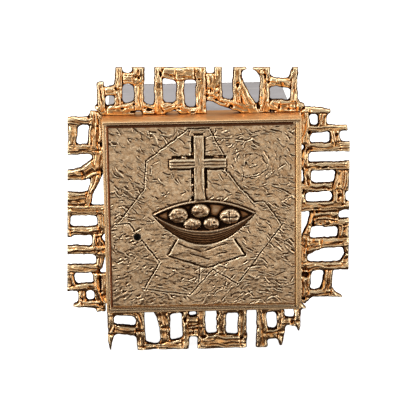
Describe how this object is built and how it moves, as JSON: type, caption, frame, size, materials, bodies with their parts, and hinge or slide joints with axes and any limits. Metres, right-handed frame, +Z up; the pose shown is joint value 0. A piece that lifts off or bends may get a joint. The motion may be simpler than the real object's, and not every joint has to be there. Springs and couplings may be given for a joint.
{
  "type": "tabernacle box",
  "caption": "Wall tabernacle with a hinged relief door in a projecting square collar, pierced branch castings around it and a locking strongbox behind.",
  "frame": {"origin": "centre of the back plate's rear face, which lies against the wall", "axes": "+Y into the wall, so the door faces -Y; +Z up; +X to the hinge side"},
  "size_m": [0.4415, 0.3345, 0.4539],
  "materials": {
    "polished_bronze": "polished gilt bronze",
    "cast_bronze": "polished rough casting with dark hollows",
    "relief_bronze": "satin tooled bronze",
    "hinge_bronze": "polished",
    "gilt_liner": "satin gilt sheet",
    "grey_steel": "matt grey paint",
    "steel": "brushed",
    "dark_steel": "darkened"
  },
  "bodies": {
    "casing": {"strongbox_shell": "grey_steel", "strongbox_back": "grey_steel", "front_collar": "polished_bronze", "inner_liner": "gilt_liner", "ornament_top": "cast_bronze", "ornament_right": "cast_bronze", "ornament_bottom": "cast_bronze", "ornament_left": "cast_bronze", "ornament_screws_top": "steel", "ornament_screws_right": "steel", "ornament_screws_bottom": "steel", "ornament_screws_left": "steel", "strike_plate": "steel", "strike_screws": "steel", "hinge_leaf_fixed": "hinge_bronze", "hinge_pin": "hinge_bronze", "hinge_screws_fixed": "hinge_bronze"},
    "door": {"door_tray": "polished_bronze", "relief_panel": "relief_bronze", "panel_screws": "steel", "hinge_leaf_door": "hinge_bronze", "hinge_screws_door": "hinge_bronze", "keyhole_bush": "dark_steel", "lock_case": "dark_steel", "lock_cover": "dark_steel", "lock_screws": "steel"},
    "plug": {"lock_plug": "steel"},
    "bolt": {"lock_bolt": "steel"}
  },
  "joints": [
    {"name": "door_hinge", "type": "hinge", "parent": "casing", "child": "door", "pos_m": [0.1435, -0.3296, 0], "axis": [0, 0, 1], "range_deg": [0, 110]},
    {"name": "plug_turn", "type": "hinge", "parent": "door", "child": "plug", "pos_m": [-0.1005, -0.318, -0.03], "axis": [0, -1, 0], "range_deg": [0, 90]},
    {"name": "bolt_slide", "type": "slide", "parent": "door", "child": "bolt", "axis": [-1, 0, 0], "range_m": [0, 0.00848]}
  ],
  "couplings": [
    {"joint": "plug_turn", "follows": "bolt_slide", "rad_per_m": 185.1}
  ]
}
